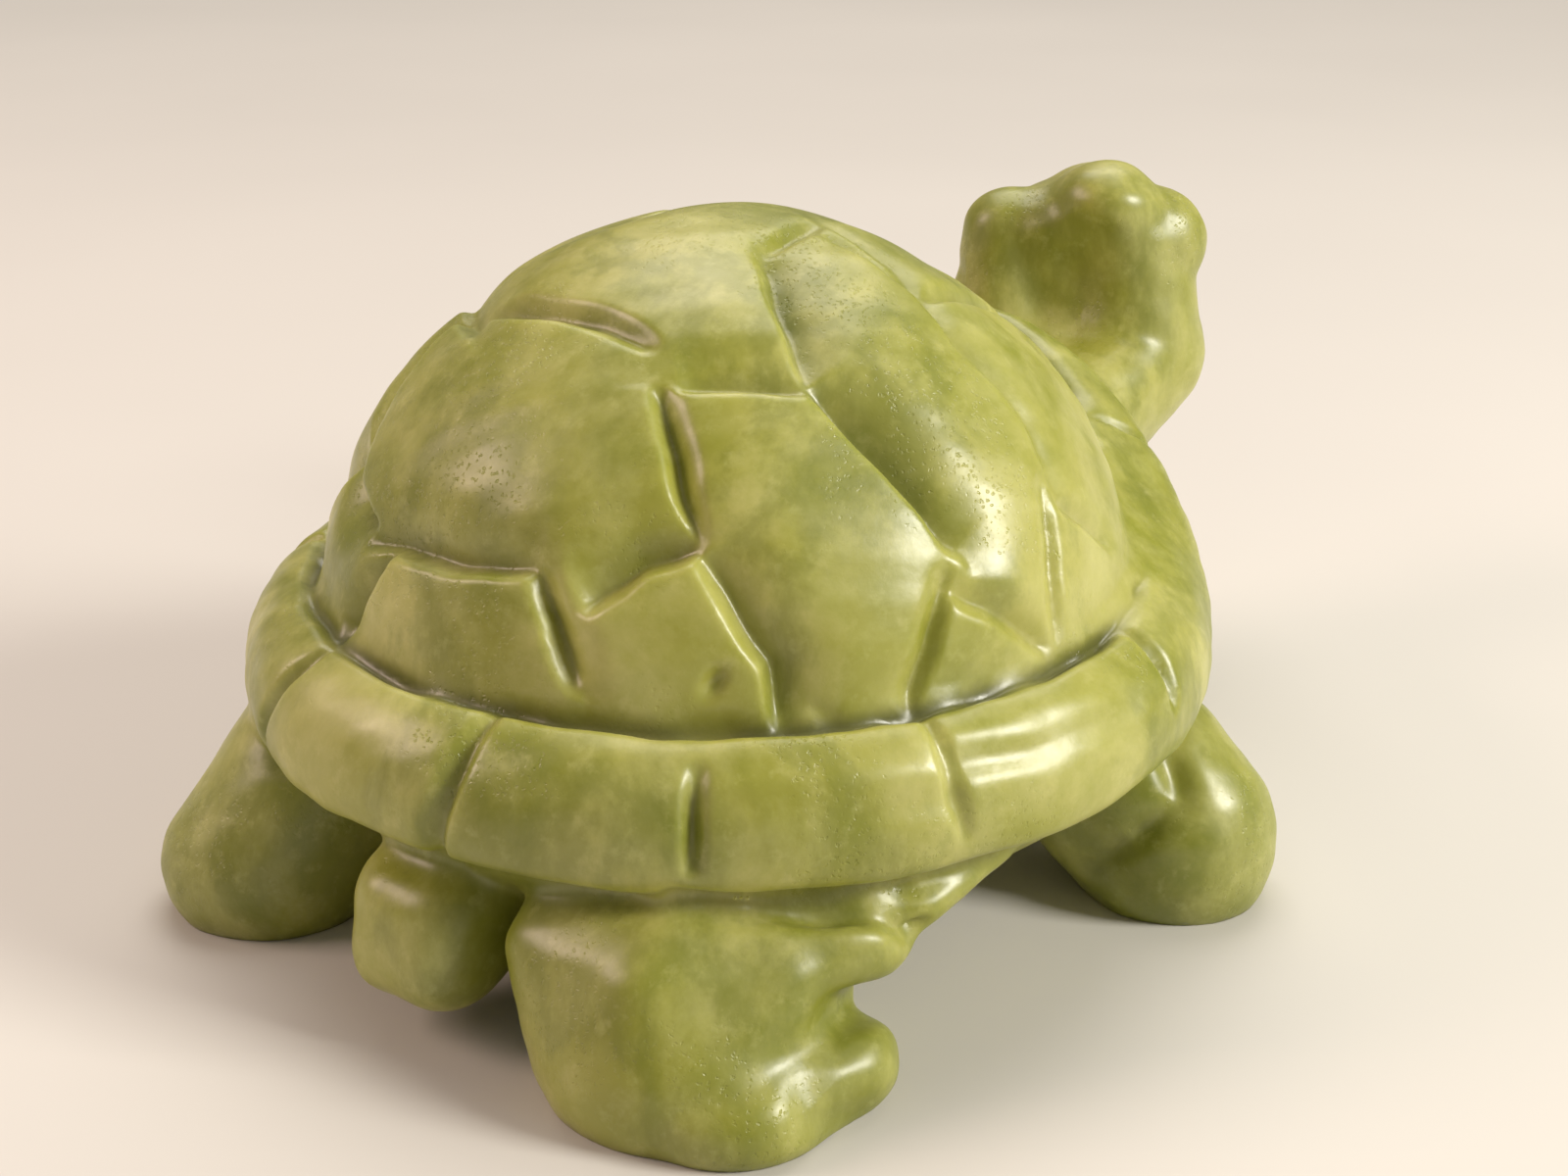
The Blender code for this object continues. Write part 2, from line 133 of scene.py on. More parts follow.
def fullerDome(spots):    # the ellipsoid's profile is made fuller towards the shoulder
    rise = np.clip((spots[:, 2] - shell["domeBase"]) / shell["domeRadii"][2], 0, 1)
    level = np.sqrt(np.maximum(1 - rise**2, 0))
    power = shell["domeFullness"]
    wanted = np.maximum(1 - rise**power, 0) ** (1 / power)
    draw = np.where(level > nearPole, wanted / np.maximum(level, nearPole), 1)
    spots[:, 0] *= draw
    spots[:, 1] *= draw
    spots[:, 2] = np.maximum(spots[:, 2], shell["domeBase"] - shell["domeFoot"])
    return spots


def makeOval(name, low, high, lowRadii, highRadii, cuts):
    onlySelect()
    bpy.ops.mesh.primitive_cylinder_add(vertices=block["segments"], radius=1, depth=2)
    piece = bpy.context.object
    piece.name = name
    spots = spotsOf(piece) * mm
    top = spots[:, 2:] > 0
    spots[:, :2] *= np.where(top, np.array(highRadii), np.array(lowRadii))
    spots[:, 2:] = np.where(top, high, low)
    moveSpots(piece, spots)
    upright = [edge.index for edge in piece.data.edges
               if len({round(piece.data.vertices[v].co.z, 6) for v in edge.vertices}) > 1]
    if cuts:
        bpy.ops.object.mode_set(mode="EDIT")
        bpy.ops.mesh.select_mode(type="EDGE")
        bpy.ops.mesh.select_all(action="DESELECT")
        bpy.ops.object.mode_set(mode="OBJECT")
        for number in upright:
            piece.data.edges[number].select = True
        bpy.ops.object.mode_set(mode="EDIT")
        bpy.ops.mesh.subdivide(number_cuts=cuts)
        bpy.ops.object.mode_set(mode="OBJECT")
    return piece


def rimRadii(inset):
    return (shell["rimRadii"][0] + inset, shell["rimRadii"][1] + inset)


def makeShell():
    onlySelect()
    bpy.ops.mesh.primitive_uv_sphere_add(segments=block["segments"], ring_count=block["segments"] // 2)
    dome = bpy.context.object
    dome.name = "dome"
    spots = spotsOf(dome) * mm * np.array(shell["domeRadii"]) + np.array([0, 0, shell["domeBase"]])
    moveSpots(dome, fullerDome(spots))
    profile = shell["rimProfile"]
    pieces = [dome]
    for step, ((low, lowIn), (high, highIn)) in enumerate(zip(profile, profile[1:])):
        pieces.append(makeOval("rim%d" % step, low, high, rimRadii(lowIn), rimRadii(highIn), 0))
    bottom, bottomIn = profile[0]
    pieces.append(makeOval("belly", shell["bellyBottom"], bottom + shell["bellyOverlap"],
                           shell["bellyRadii"], rimRadii(bottomIn), block["bellyRings"]))
    for piece in pieces:
        spots = spotsOf(piece)
        stretch = shell["frontStretchDome"] if piece is dome else shell["frontStretchRim"]
        spots[:, 0] *= np.where(spots[:, 0] > 0, stretch, 1.0)
        spots[:, 2] += archLift(*spots.T)
        moveSpots(piece, spots)
    return pieces


# Legs, flanks, tail, neck and head: each mass is wrapped round a few balls, given as a centre,
# radii and, for the head and what carries it, a turn to the left in degrees.
headTurn = 33.0
limbs = {
    "rearRightLeg": [
        ((-27, -21, 18), (15, 14, 9)),
        ((-46, -15, 13), (5, 5, 4.5)),
        ((-46, -26, 13), (5, 5, 4.5)),
        ((-37, -34, 13), (5, 5, 4.5)),
        ((-39.5, -25, 4), (15, 15, 11)),
    ],
    "rearRightKnee": [((-29, -34.3, 14), (8, 8, 6)), ((-38, -28.5, 12), (9, 9, 6))],
    "rearRightHeel": [((-40, -32, 2.5), (12.5, 11.5, 6.5)), ((-34.5, -38.5, 3.4), (6.3, 6, 5.2))],
    "rearLeftLeg": [((-28, 25, 22), (13, 12, 9)), ((-39.5, 32, 4.5), (12.5, 12, 10))],
    "frontRightLeg": [((18, -26, 24), (14, 13, 9)), ((20, -45, 6), (11.5, 11.5, 12))],
    "frontLeftLeg": [((18, 26, 24), (14, 13, 9)), ((22, 45, 6), (11.5, 11.5, 12))],
    "rightFlank": [
        ((-12, -32, 16), (9, 8, 7)),
        ((-25, -38.3, 15.4), (6, 4.5, 2.4)),
        ((-15, -40, 18.5), (6, 5, 3)),
    ],
    "leftFlank": [((-12, 32, 16), (9, 8, 7)), ((-24, 35, 16), (8, 6.5, 3.5))],
    "tail": [
        ((-38, 0, 15), (8, 9, 7)),
        ((-46.5, 2.8, 13.5), (6.5, 5.4, 5)),
        ((-46.5, -2.8, 13.5), (6.5, 5, 5)),
        ((-47.5, 2.8, 8), (6.5, 5.2, 5)),
        ((-47.5, -2.8, 8), (6.5, 5, 5)),
    ],
    "neck": [((38, 0, 27), (14, 18, 14)), ((63, -1, 33), (10, 13.5, 12))],
    "throat": [((63, -1, 33), (10, 13.5, 12)), ((80.2, -3.6, 40), (10.5, 11.8, 11), 33.0)],
    "nape": [((79.2, -3.6, 40), (11, 12, 10), 33.0), ((77.8, -1, 55), (10.5, 12.2, 8), 33.0)],
    "skull": [((78, 0.5, 55.8), (10.5, 12.2, 7.2), 33.0), ((88.5, 9, 54), (7, 9, 6.5), 33.0)],
    "crown": [
        ((76, -2.7, 59.5), (8.5, 7.5, 6.5), 33.0),
        ((84, 4, 57.5), (7, 7, 5.5), 33.0),
        ((79.5, -5.5, 57), (6.5, 6, 5.6)),
    ],
    "rightCheek": [((82, -7, 55), (7, 7, 7.2))],
    "leftCheek": [((73, 8.8, 55.5), (6.5, 7, 6)), ((71.5, 9, 47), (6.5, 7, 8)), ((73, 4, 39), (8, 8, 8))],
    "rightEye": [((87, -1.8, 56.8), (3.4, 3.4, 3.2))],
    "leftEye": [((78, 12.4, 56.2), (3.4, 3.4, 3.2))],
}


def makeLimb(name, balls):
    made = []
    for ball in balls:
        centre, radii = ball[0], ball[1]
        turn = math.radians(ball[2]) if len(ball) > 2 else 0.0
        onlySelect()
        bpy.ops.mesh.primitive_uv_sphere_add(
            segments=block["limbSegments"], ring_count=block["limbRings"], radius=mm,
            location=[c * mm for c in centre], rotation=(0, 0, turn), scale=radii)
        bpy.ops.object.transform_apply(location=True, rotation=True, scale=True)
        made.append(bpy.context.object)
    onlySelect(*made)
    bpy.ops.object.join()
    limb = bpy.context.object
    limb.name = name
    bpy.ops.object.mode_set(mode="EDIT")
    bpy.ops.mesh.select_all(action="SELECT")
    bpy.ops.mesh.convex_hull()
    bpy.ops.object.mode_set(mode="OBJECT")
    return limb


def smoothOff(turtle, passes):
    onlySelect(turtle)
    rounded = turtle.modifiers.new("rounded", "SMOOTH")
    rounded.factor = block["smoothing"]
    rounded.iterations = passes
    bpy.ops.object.modifier_apply(modifier="rounded")


def joinBlock(pieces):
    onlySelect(*pieces)
    bpy.ops.object.join()
    turtle = bpy.context.object
    turtle.name = "carvedTurtle"
    joined = turtle.modifiers.new("joined", "REMESH")
    joined.mode = "VOXEL"
    joined.voxel_size = block["fineness"] * mm
    bpy.ops.object.modifier_apply(modifier="joined")
    smoothOff(turtle, block["roundingPasses"])
    return turtle


# The cuts of the shell. Each runs through azimuths and elevations in degrees, seen from the
# middle of the dome's base, and has a depth and the slopes on its left and right hand.
plateCuts = {
    "topDown": ([(-123, 73), (-126, 46)], 2.6, 7.0, 1.2),
    "sideLong": ([(-126, 46), (-117, 34), (-110, 20)], 3.4, 9.0, 1.2),
    "rearUpper": ([(-152, 46), (-126, 45)], 2.2, 9.0, 1.2),
    "sideRear": ([(-146, 22), (-142, 16), (-137, 9), (-136, 1)], 3.0, 8.0, 1.2),
    "wedgeRear": ([(-112, 17), (-121, 1)], 1.8, 1.2, 2.6),
    "wedgeAhead": ([(-112, 15), (-97, 3)], 1.6, 4.0, 1.2),
    "sliverRear": ([(-88, 24), (-93, 12), (-95, 3)], 1.3, 1.2, 3.0),
    "sliverAhead": ([(-86, 20), (-75, 10)], 1.3, 3.0, 1.2),
    "sideFront": ([(-48, 77), (-70, 63), (-84, 47), (-83, 33), (-86, 20)], 1.2, 4.0, 1.2),
    "topAlong": ([(-123, 73), (-60, 76)], 1.4, 2.5, 1.5),
    "topFront": ([(-74, 74), (-77, 56)], 1.4, 2.5, 1.5),
    "chip": ([(-135, 5), (-132, 3), (-129, 2)], 1.2, 1.2, 3.0),
    "nick": ([(-143, 8), (-145, 5)], 1.0, 1.6, 1.2),
    "frontUpper": ([(-76, 56), (-45, 44), (-30, 30)], 1.8, 2.5, 1.5),
    "frontLower": ([(-30, 30), (-40, 8)], 1.8, 2.5, 1.5),
}
middleCuts = {
    "rearArc": ([(132, 47), (146, 51), (162, 54), (-177, 55), (-160, 52)], 1.9, 2.0, 1.5),
    "rearRightGouge": ([(-156, 45), (-150, 33), (-146, 23)], 2.6, 2.8, 1.2),
    "rearLeftGouge": ([(130, 47), (132, 40), (138, 32), (143, 25), (148, 19), (158, 17)], 3.4, 1.2, 7.0),
    "rearRightLow": ([(-146, 23), (-154, 20), (-161, 15)], 3.2, 1.2, 9.0),
    "rearLow": ([(-168, 18), (-161, 5)], 2.6, 5.0, 1.2),
    "rearBand": ([(158, 14), (166, 16), (177, 17), (-168, 18)], 2.8, 8.0, 1.2),
    "rearLeftLow": ([(166, 16), (158, 2)], 2.0, 1.2, 3.5),
    "frontBand": ([(-30, 30), (24, 30)], 1.8, 2.5, 1.5),
}
leftLead = 6.0    # how far ahead the cuts are on the left side, in degrees
wideSlope = 2.0   # sides wider than this are hollow
cutEnd = 0.35     # how much of a cut's depth is left at its ends
liftSteps = 6     # tries to find where a spot was before the front was lifted
rimCarving = {
    "cuts": {
        "rearLeft": ((161, 154), (36, 23), 1.6, 0.9, 1.6),
        "rear": ((-169.5, -174), (38, 18), 1.9, 3.0, 0.8),
        "rearLens": ((-146, -146.5), (33.6, 23.5), 1.7, 0.8, 1.9),
        "right": ((-120, -117.5), (37, 24.5), 1.3, 0.8, 1.6),
        "rightFront": ((-82, -83.5), (37, 27.5), 1.6, 0.8, 1.6),
        "frontRight": ((-33, -31), (38, 18), 1.6, 1.0, 1.0),
        "left": ((121, 118), (37, 20), 1.7, 1.2, 0.9),
        "leftFront": ((83, 85), (38, 20), 1.6, 0.9, 1.2),
        "frontLeft": ((31, 33), (38, 18), 1.6, 1.0, 1.0),
    },
    "ringRadii": (45.3, 44.3),
    "ringHeight": 34.8,
    "ringDepth": 2.6,
    "ringWidth": 0.8,
    "undercutRadii": (50.0, 49.0),
    "undercutHeight": 20.0,
    "undercutDepth": 1.2,
    "undercutWidth": 1.8,
    "ringMargin": 1.0,
    "domeEdge": 1.01,
}


def sightOf(azimuth, elevation):
    across, up = math.radians(azimuth), math.radians(elevation)
    return np.array([math.cos(up) * math.cos(across), math.cos(up) * math.sin(across), math.sin(up)])


def sideFall(distance, slope):    # wide sides are hollow slopes, narrow ones are steps
    fall = np.clip(1 - distance / slope, 0, 1)
    return np.where(slope > wideSlope, fall**2, fall**2 * (3 - 2 * fall))


def cutDepth(sights, sizes, turns, depth, left, right):
    ways = [sightOf(*turn) for turn in turns]
    spans = [math.acos(float(np.clip(a @ b, -1, 1))) for a, b in zip(ways, ways[1:])]
    nearest = np.full(len(sights), farAway)
    side = np.zeros(len(sights))
    run = np.zeros(len(sights))
    before = 0.0
    for start, end, span in zip(ways, ways[1:], spans):
        pole = np.cross(start, end)
        pole /= np.linalg.norm(pole)
        off = np.arcsin(np.clip(sights @ pole, -1, 1))
        ahead = np.arctan2(sights @ np.cross(pole, start), sights @ start)
        past = ahead - np.clip(ahead, 0, span)
        distance = np.hypot(off, past) * sizes
        closer = distance < nearest
        nearest = np.where(closer, distance, nearest)
        side = np.where(closer, off, side)
        run = np.where(closer, before + np.clip(ahead, 0, span), run)
        before += span
    share = run / before
    lens = np.sqrt(np.clip(4 * share * (1 - share), 0, 1)) * (1 - cutEnd) + cutEnd
    return depth * lens * sideFall(nearest, np.where(side > 0, left, right))


def rimCutDepth(around, heights, azimuths, ends, depth, left, right):
    share = np.clip((ends[0] - heights) / (ends[0] - ends[1]), 0, 1)
    middle = azimuths[0] + (azimuths[1] - azimuths[0]) * share
    off = np.radians((around - middle + 180) % 360 - 180) * shell["rimRadii"][0]
    lens = np.sqrt(4 * share * (1 - share))
    return depth * lens * sideFall(np.abs(off), np.where(off < 0, left, right))


def unlifted(spots):
    flat = spots.copy()
    for step in range(liftSteps):
        flat[:, 2] = spots[:, 2] - archLift(*flat.T)
    return flat


def shellDepth(spots):
    flat = unlifted(spots)
    seen = flat - np.array([0, 0, shell["domeBase"]])
    sizes = np.linalg.norm(seen, axis=1)
    sights = seen / sizes[:, None]
    ahead = flat[:, 0] > 0
    domeX = flat[:, 0] / np.where(ahead, shell["frontStretchDome"], 1.0)
    rimX = flat[:, 0] / np.where(ahead, shell["frontStretchRim"], 1.0)
    ring, under = rimCarving["ringRadii"], rimCarving["undercutRadii"]
    reach = np.hypot(domeX / ring[0], flat[:, 1] / ring[1])
    deepest = np.zeros(len(spots))
    for turns, depth, left, right in plateCuts.values():
        mirrored = [(-azimuth - leftLead, elevation) for azimuth, elevation in turns]
        deepest = np.maximum(deepest, cutDepth(sights, sizes, turns, depth, left, right))
        deepest = np.maximum(deepest, cutDepth(sights, sizes, mirrored, depth, right, left))
    for turns, depth, left, right in middleCuts.values():
        deepest = np.maximum(deepest, cutDepth(sights, sizes, turns, depth, left, right))
    domeFrom = rimCarving["ringHeight"] - rimCarving["ringMargin"]
    onDome = (flat[:, 2] > domeFrom) & (reach < rimCarving["domeEdge"])
    deepest = np.where(onDome, deepest, 0)
    below = np.hypot(rimX / under[0], flat[:, 1] / under[1])
    offEdge = np.hypot((below - 1) * under[0], flat[:, 2] - rimCarving["undercutHeight"])
    deepest = np.maximum(
        deepest, rimCarving["undercutDepth"] * np.exp(-((offEdge / rimCarving["undercutWidth"]) ** 2)))
    offRing = np.hypot((reach - 1) * ring[0], flat[:, 2] - rimCarving["ringHeight"])
    deepest = np.maximum(
        deepest, rimCarving["ringDepth"] * np.exp(-((offRing / rimCarving["ringWidth"]) ** 2)))
    around = np.degrees(np.arctan2(flat[:, 1], flat[:, 0]))
    for cut in rimCarving["cuts"].values():
        deepest = np.maximum(deepest, rimCutDepth(around, flat[:, 2], *cut) * (reach > 1.0))
    return deepest


# Creases of the legs, and of the head, whose points are ahead, left and up of its middle.
creases = {
    "heelNotch": ([(-26, -38, 9), (-32, -39.5, 9), (-38.5, -40, 9.5), (-45, -39, 9.5)], 1.8, 0.5, 2.2),
    "heelLine": ([(-42, -42, 7.5), (-43, -42, 4), (-38, -45, 1)], 0.6, 1.2, 2.4),
    "underSkirt": ([(-43, -27, 21.5), (-36, -34, 19), (-31, -39, 17.5), (-26.5, -42.5, 15)], 1.2, 2.2, 1.3),
    "bandDip": ([(-23, -44.5, 31.5), (-16, -47.5, 31), (-9, -49.5, 31), (-2, -50.5, 31)], 0.8, 0.4, 1.8),
    "bandHollow": ([(-37, -36.5, 29), (-32, -41, 29), (-26, -45, 29)], 0.2, 0.7, 1.8),
    "elbow": ([(14, -47, 21), (13, -49, 14), (8, -46, 10), (8, -41, 5)], 1.6, 1.0, 1.6),
    "leftHeelNotch": ([(-29, 42, 9), (-35, 45, 11), (-43, 43, 13)], 5.0, 0.5, 3.2),
    "leftElbow": ([(15, 47, 21), (14, 50, 14), (10, 47, 10), (10, 41, 5)], 1.6, 1.0, 1.6),
}
head = {
    "middle": (78.0, 2.5, 56.5),
    "creases": {
        "jaw": ([(4, -13, -5), (-3, -14, -6)], 1.8, 0.8, 1.5),
        "mouth": ([(2, -12.5, -4), (12, -9.3, -4.5), (17.5, -6, -4.5), (19.2, 0, -4.5)], 1.4, 1.4, 1.0),
        "nostril": ([(17, -2.5, 2), (17.4, -2.5, 1.6)], 0.8, 0.8, 0.8),
        "eye": (
            [(9, -10.3, 0.2), (5.8, -9.8, 3.2), (2.6, -11.5, 0.2), (5.8, -10.8, -2.8), (9, -10.3, 0.2)],
            1.2,
            1.2,
            0.9,
        ),
    },
    "napeHollow": ((66, -3.5, 51.5), 4.6, 8.5),
}


def creaseDepth(spots, line, startDepth, endDepth, width):
    line = [np.array(point, dtype=float) for point in line]
    nearest = np.full(len(spots), farAway)
    share = np.zeros(len(spots))
    for step, (start, end) in enumerate(zip(line, line[1:])):
        along = end - start
        run = np.clip((spots - start) @ along / (along @ along), 0, 1)
        distance = np.linalg.norm(spots - start - run[:, None] * along, axis=1)
        closer = distance < nearest
        nearest = np.where(closer, distance, nearest)
        share = np.where(closer, (step + run) / (len(line) - 1), share)
    depth = startDepth + (endDepth - startDepth) * share
    return depth * np.exp(-((nearest / width) ** 2))


def ofHead(point, side):
    ahead, left, up = point
    turned = Matrix.Rotation(math.radians(headTurn), 3, "Z") @ Vector((ahead, left * side, up))
    return Vector(head["middle"]) + turned


def limbDepth(spots):
    middle, depth, width = head["napeHollow"]
    deepest = depth * np.exp(-((np.linalg.norm(spots - np.array(middle), axis=1) / width) ** 2))
    for line, startDepth, endDepth, width in creases.values():
        deepest = np.maximum(deepest, creaseDepth(spots, line, startDepth, endDepth, width))
    for line, startDepth, endDepth, width in head["creases"].values():
        for side in (1, -1):
            turned = [ofHead(point, side) for point in line]
            deepest = np.maximum(deepest, creaseDepth(spots, turned, startDepth, endDepth, width))
    return deepest


# Hand carving is never quite even: the cuts waver and the faces roll a little.
handWork = {
    "waveLengths": (23.0, 13.0, 7.5),
    "cutWaver": 0.36,
    "faceRoll": 0.22,
    "seedTurn": 2.4,
    "lengthTurn": 1.7,
    "climb": 1.9,
}


def wavesAt(spots, seed):
    total = np.zeros(len(spots))
    for number, length in enumerate(handWork["waveLengths"]):
        turn = seed * handWork["seedTurn"] + number * handWork["lengthTurn"]
        way = np.array([math.cos(turn), math.sin(turn), math.cos(turn * handWork["climb"])])
        across = np.array([way[1], way[2], way[0]])
        step = 2 * math.pi / length / np.linalg.norm(way)
        swell = np.sin(spots @ way * step + turn) * np.cos(spots @ across * step + 2 * turn)
        total += swell / (number + 1)
    return total


def wavered(spots):
    sway = np.stack([wavesAt(spots, seed) for seed in (1, 2, 3)], axis=1)
    return spots + handWork["cutWaver"] * sway


def carve(turtle):
    spots = spotsOf(turtle)
    depth = shellDepth(wavered(spots)) + handWork["faceRoll"] * wavesAt(spots, 4)
    moveSpots(turtle, spots - normalsOf(turtle) * depth[:, None])
    print("shell carved")
    spots = spotsOf(turtle)
    moveSpots(turtle, spots - normalsOf(turtle) * limbDepth(spots)[:, None])
    smoothOff(turtle, block["softeningPasses"])
    print("limbs and head carved")


# The ring groove is painted darker for the dust that stays in it and as painted shade, and the deeper cuts
# a little darker as painted shade.
dustAndShadeLevels = {
    "ringReach": 0.985,
    "ringDrop": 0.9,
    "ringWidth": 1.1,
    "ringShare": 0.9,
    "cutFrom": 1.2,    # how deep a cut is where the painted shade starts
    "cutSpan": 1.5,
    "cutShare": 0.3,
}


# painted shade: darker in the ring groove, together with its dust, and in the cuts deeper than cutFrom
def grooveDustAndShade(spots):
    flat = unlifted(spots)
    domeX = flat[:, 0] / np.where(flat[:, 0] > 0, shell["frontStretchDome"], 1.0)
    ring = rimCarving["ringRadii"]
    reach = np.hypot(domeX / ring[0], flat[:, 1] / ring[1])
    rise = flat[:, 2] - rimCarving["ringHeight"] + dustAndShadeLevels["ringDrop"]
    off = np.hypot((reach - dustAndShadeLevels["ringReach"]) * ring[0], rise)
    line = np.exp(-((off / dustAndShadeLevels["ringWidth"]) ** 2)) * dustAndShadeLevels["ringShare"]
    deep = (shellDepth(wavered(spots)) - dustAndShadeLevels["cutFrom"]) / dustAndShadeLevels["cutSpan"]
    return np.maximum(line, np.clip(deep, 0, 1) * dustAndShadeLevels["cutShare"])


def finishBlock(turtle):
    onlySelect(turtle)
    triangles = sum(len(face.vertices) - 2 for face in turtle.data.polygons)
    fewer = turtle.modifiers.new("fewerFaces", "DECIMATE")
    fewer.ratio = min(1.0, block["triangles"] / triangles)
    fewer.use_collapse_triangulate = True
    bpy.ops.object.modifier_apply(modifier="fewerFaces")
    bpy.ops.object.mode_set(mode="EDIT")
    bpy.ops.mesh.select_all(action="SELECT")
    bpy.ops.mesh.bisect(plane_co=(0, 0, 0), plane_no=(0, 0, 1), use_fill=True, clear_inner=True)
    bpy.ops.mesh.select_all(action="SELECT")
    bpy.ops.mesh.dissolve_degenerate(threshold=block["shortestEdge"] * mm)
    bpy.ops.mesh.quads_convert_to_tris()
    bpy.ops.mesh.select_all(action="SELECT")
    bpy.ops.mesh.normals_make_consistent(inside=False)
    bpy.ops.object.mode_set(mode="OBJECT")
    spots = spotsOf(turtle)
    # each point's share of the groove colour: dust and painted shade in the ring groove, painted shade in
    # the deeper cuts
    dustAndShadeColour = turtle.data.attributes.new("grooveDustAndShade", "FLOAT", "POINT")
    dustAndShadeColour.data.foreach_set("value", grooveDustAndShade(spots))
    low, high = spots.min(axis=0), spots.max(axis=0)
    cadLow, cadHigh = [np.array(corner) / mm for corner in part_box("turtle_carving")]
    middle = (cadLow + cadHigh) / 2 - (low + high) / 2
    moveSpots(turtle, spots + np.array([middle[0], middle[1], cadLow[2] - low[2]]))
    bpy.ops.object.shade_smooth_by_angle(angle=math.radians(block["smoothBelow"]))
    return turtle


# The stone: yellow green, with cream clouds, darker streaks that run one way, and fine pits, with painted
# shade lower down and in the grooves.
# A noise has a size, where higher is smaller, a detail and a roughness. Stops turn a noise into
# a share, from its value to how much of the colour it gives.
stone = {
    "body": (0.395, 0.385, 0.082),
    "olive": (0.240, 0.255, 0.016),
    "cloud": (0.560, 0.540, 0.205),
    "streak": (0.140, 0.165, 0.004),
    # painted shade colour for the ring groove, together with its dust, and for the deeper cuts
    "dustAndShadeColour": (0.075, 0.080, 0.012),
    "swirl": (16.0, 3.0, 0.5),
    "swirlReach": 0.022,
    "patches": (36.0, 6.0, 0.6),
    "clouds": (80.0, 8.0, 0.66),
    "streaks": (44.0, 7.0, 0.62),
    "veins": (26.4, 9.0, 0.62),
    "flecks": (400.0, 5.0, 0.65),
    "patchStops": [(0.36, 0.0), (0.62, 1.0)],
    "cloudStops": [(0.42, 0.0), (0.74, 0.75)],
    "streakStops": [(0.36, 0.62), (0.52, 0.0)],
    "veinStops": [(0.450, 0.0), (0.490, 0.42), (0.504, 0.42), (0.545, 0.0)],
    "fleckStops": [(0.56, 0.0), (0.72, 0.30)],
    "lowShadeFrom": 0.046,       # painted shade: below this height the stone is painted greener, as the lower faces are in shade
    "lowShadeFull": 0.022,
    "lowShadeMost": 0.35,
    "streakTurn": (0.5, 0.7, 0.6),
    "streakStretch": (1.0, 1.0, 0.6),
    "grain": (300.0, 5.0, 0.62),
    "glossStops": [(0.30, 0.33), (0.70, 0.47)],
    "rippleDepth": 0.00012,
    "rippleStrength": 0.4,
    "wax": 0.14,
    "waxRoughness": 0.25,
    "translucency": 0.35,
    "depthOfLight": (0.0045, 0.0050, 0.0016),
    "bendOfLight": 1.56,
    "pitSize": 1600.0,
    "pitStops": [(0.12, 1.0), (0.34, 0.0)],
    "ragged": (2560.0, 2.0, 0.5),    # makes the pits uneven
    "raggedReach": 0.0007,
    "worn": (60.0, 4.0, 0.6),        # where there are pits
    "wornStops": [(0.50, 0.0), (0.62, 1.0)],
    "pitDepth": 0.00007,
    "pitStrength": 0.8,
}


def addNode(tree, kind, spot, **settings):
    node = tree.nodes.new(kind)
    node.location = spot
    for name, value in settings.items():
        setattr(node, name, value)
    return node


def addRamp(tree, spot, source, stops):
    ramp = addNode(tree, "ShaderNodeValToRGB", spot)
    marks = ramp.color_ramp.elements
    marks[0].position, marks[0].color = stops[0][0], (*stops[0][1], 1)
    marks[1].position, marks[1].color = stops[-1][0], (*stops[-1][1], 1)
    for place, colour in stops[1:-1]:
        mark = marks.new(place)
        mark.color = (*colour, 1)
    tree.links.new(source, ramp.inputs["Fac"])
    return ramp.outputs["Color"]


def addShare(tree, spot, source, stops):    # a ramp of greys, as a share from 0 to 1
    return addRamp(tree, spot, source, [(at, (value, value, value)) for at, value in stops])


def addNoise(tree, spot, vector, kind):
    noise = addNode(tree, "ShaderNodeTexNoise", spot)
    for name, value in zip(("Scale", "Detail", "Roughness"), kind):
        noise.inputs[name].default_value = value
    tree.links.new(vector, noise.inputs["Vector"])
    return noise


def addMix(tree, spot, amount, first, second):
    mix = addNode(tree, "ShaderNodeMix", spot, data_type="RGBA")
    tree.links.new(amount, mix.inputs[0])
    for value, socket in ((first, mix.inputs[6]), (second, mix.inputs[7])):
        if isinstance(value, tuple):
            socket.default_value = (*value, 1)
        else:
            tree.links.new(value, socket)
    return mix.outputs[2]


def addBump(tree, spot, height, depth, strength, **settings):
    bump = addNode(tree, "ShaderNodeBump", spot, **settings)
    bump.inputs["Distance"].default_value = depth
    bump.inputs["Strength"].default_value = strength
    tree.links.new(height, bump.inputs["Height"])
    return bump


def swirledPlace(tree, place):
    swirl = addNoise(tree, (-1800, -200), place, stone["swirl"])
    bend = addNode(tree, "ShaderNodeVectorMath", (-1600, -100), operation="SCALE")
    tree.links.new(swirl.outputs["Color"], bend.inputs[0])
    bend.inputs["Scale"].default_value = stone["swirlReach"]
    swirled = addNode(tree, "ShaderNodeVectorMath", (-1400, 0), operation="ADD")
    tree.links.new(place, swirled.inputs[0])
    tree.links.new(bend.outputs[0], swirled.inputs[1])
    return swirled.outputs[0]


def lowShadeShare(tree, where):    # how much painted shade, as greener olive, the stone gets at each height
    heights = addNode(tree, "ShaderNodeSeparateXYZ", (-1000, 850))
    tree.links.new(where, heights.inputs[0])
    lower = addNode(tree, "ShaderNodeMapRange", (-750, 850), interpolation_type="SMOOTHSTEP")
    tree.links.new(heights.outputs["Z"], lower.inputs["Value"])
    lower.inputs["From Min"].default_value = stone["lowShadeFrom"]
    lower.inputs["From Max"].default_value = stone["lowShadeFull"]
    lower.inputs["To Max"].default_value = stone["lowShadeMost"]
    return lower.outputs["Result"]


